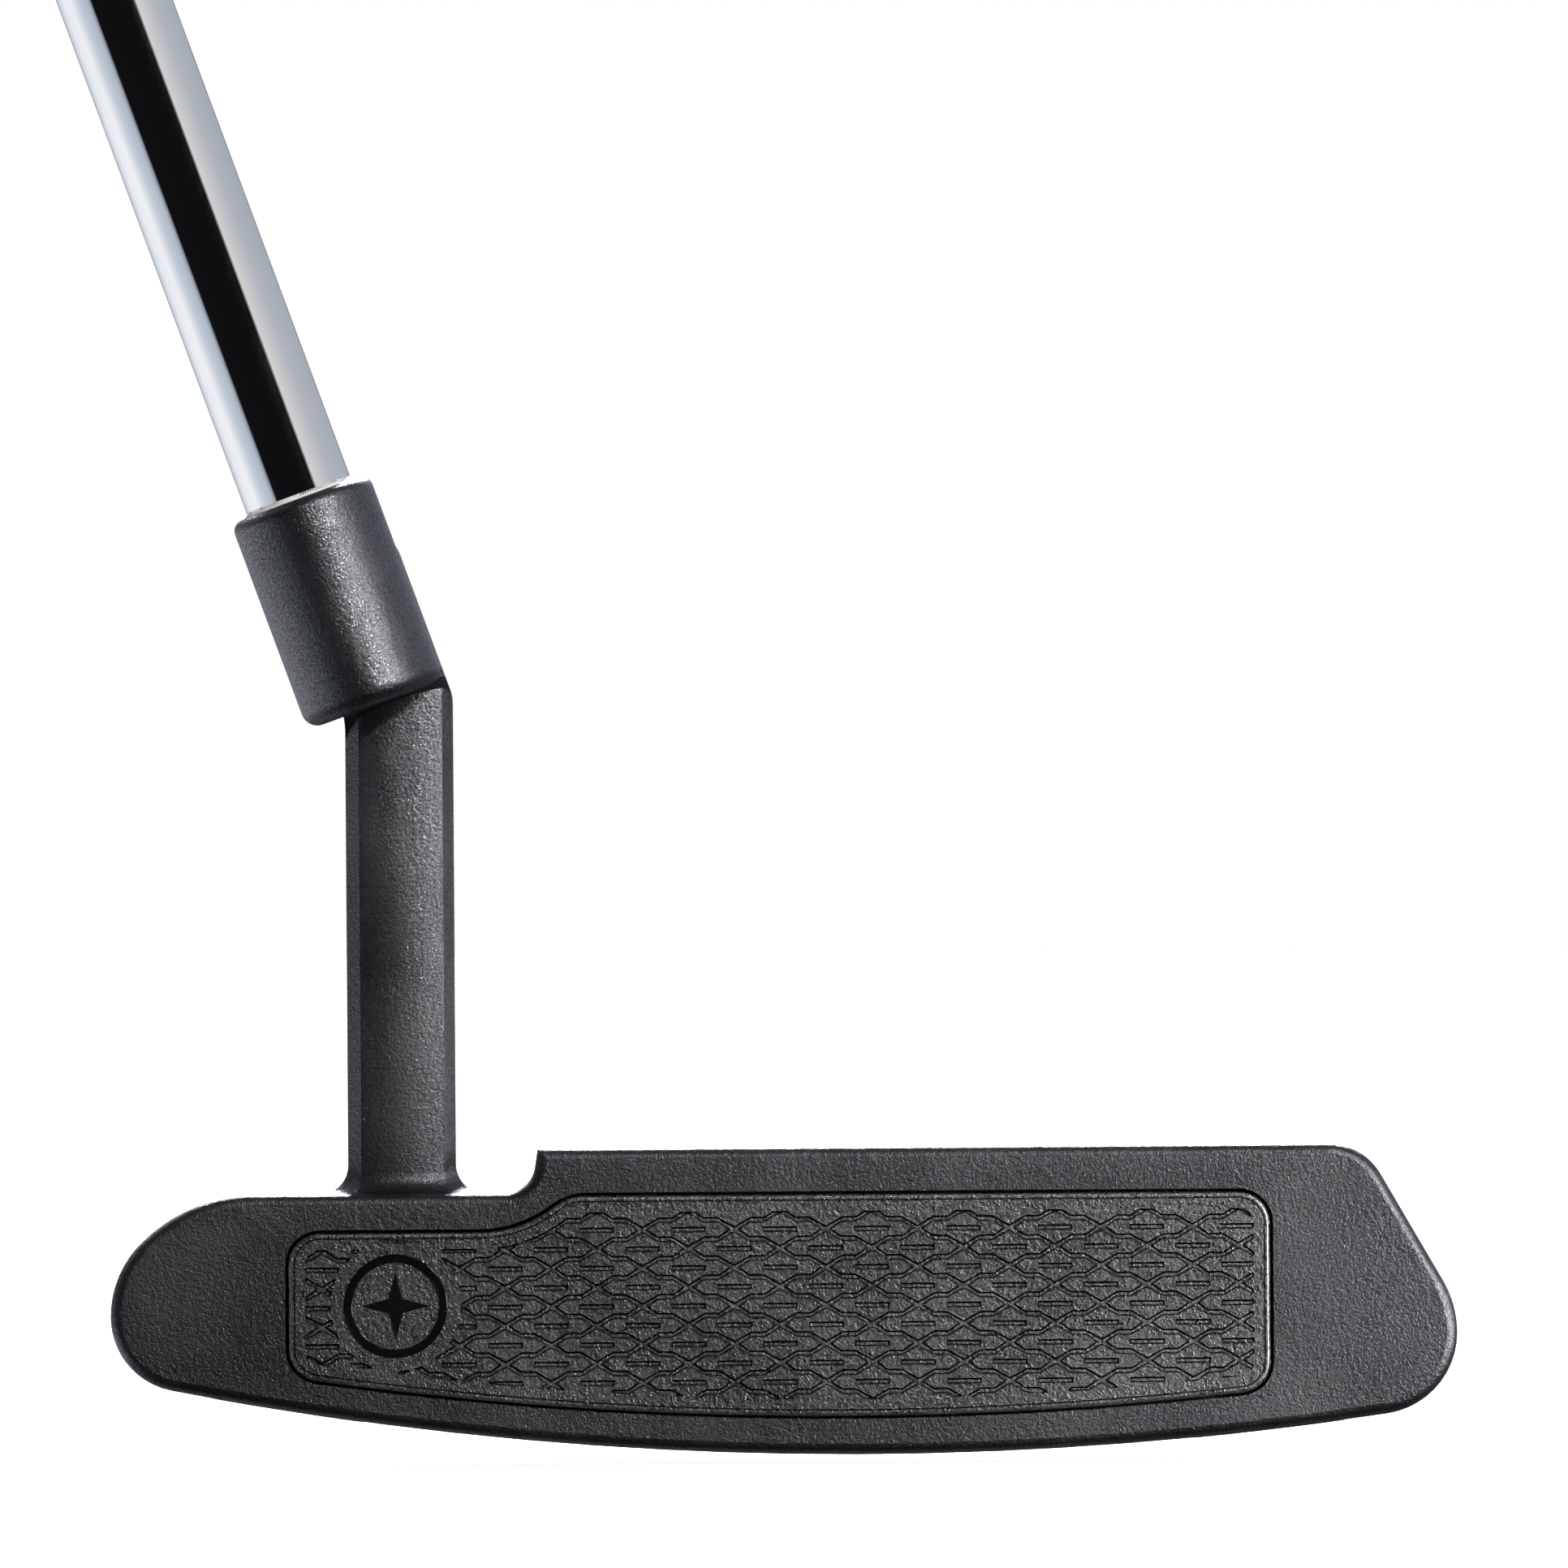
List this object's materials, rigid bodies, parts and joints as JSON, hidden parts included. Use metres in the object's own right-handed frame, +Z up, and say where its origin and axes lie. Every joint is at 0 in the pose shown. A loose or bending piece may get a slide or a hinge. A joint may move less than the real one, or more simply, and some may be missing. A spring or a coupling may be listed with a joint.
{
  "type": "blade putter",
  "caption": "Blade-style golf putter with a patterned face insert, an offset plumber's neck, screw-in sole weights, a stepped chrome shaft and a pistol grip.",
  "frame": {"origin": "lowest point of the sole, under the leading edge of the face, with the club at address", "axes": "+X from heel to toe, +Y from the face to the back of the head, +Z up; the face looks towards -Y and the shaft leans 20 degrees towards -X"},
  "size_m": [0.3817, 0.044, 0.8151],
  "materials": {
    "blasted_steel": "fine bead-blasted black coating over steel, satin",
    "insert_steel": "coarser sparkling bead-blasted black coating, satin",
    "adhesive_film": "thin bonding film",
    "gloss_black_inlay": "gloss black",
    "sight_paint": "white paint fill",
    "weight_steel": "turned steel with black oxide",
    "nylon": "natural nylon",
    "shaft_chrome": "polished chrome plate on steel",
    "clear_epoxy": "squeezed out clear epoxy",
    "grip_rubber": "moulded rubber with a dimpled pattern",
    "grip_tape_paper": "double-sided paper tape",
    "cap_plastic": "moulded plastic"
  },
  "bodies": {
    "root": {"head_body": "blasted_steel", "face_insert": "insert_steel", "insert_adhesive": "adhesive_film", "emblem_ring": "gloss_black_inlay", "emblem_star": "gloss_black_inlay", "sight_line_fill": "sight_paint", "heel_weight": "weight_steel", "toe_weight": "weight_steel", "heel_weight_washer": "nylon", "toe_weight_washer": "nylon", "shaft": "shaft_chrome", "shaft_epoxy": "clear_epoxy", "shaft_tip_plug": "nylon", "grip": "grip_rubber", "grip_tape": "grip_tape_paper", "grip_end_cap": "cap_plastic"}
  },
  "joints": []
}
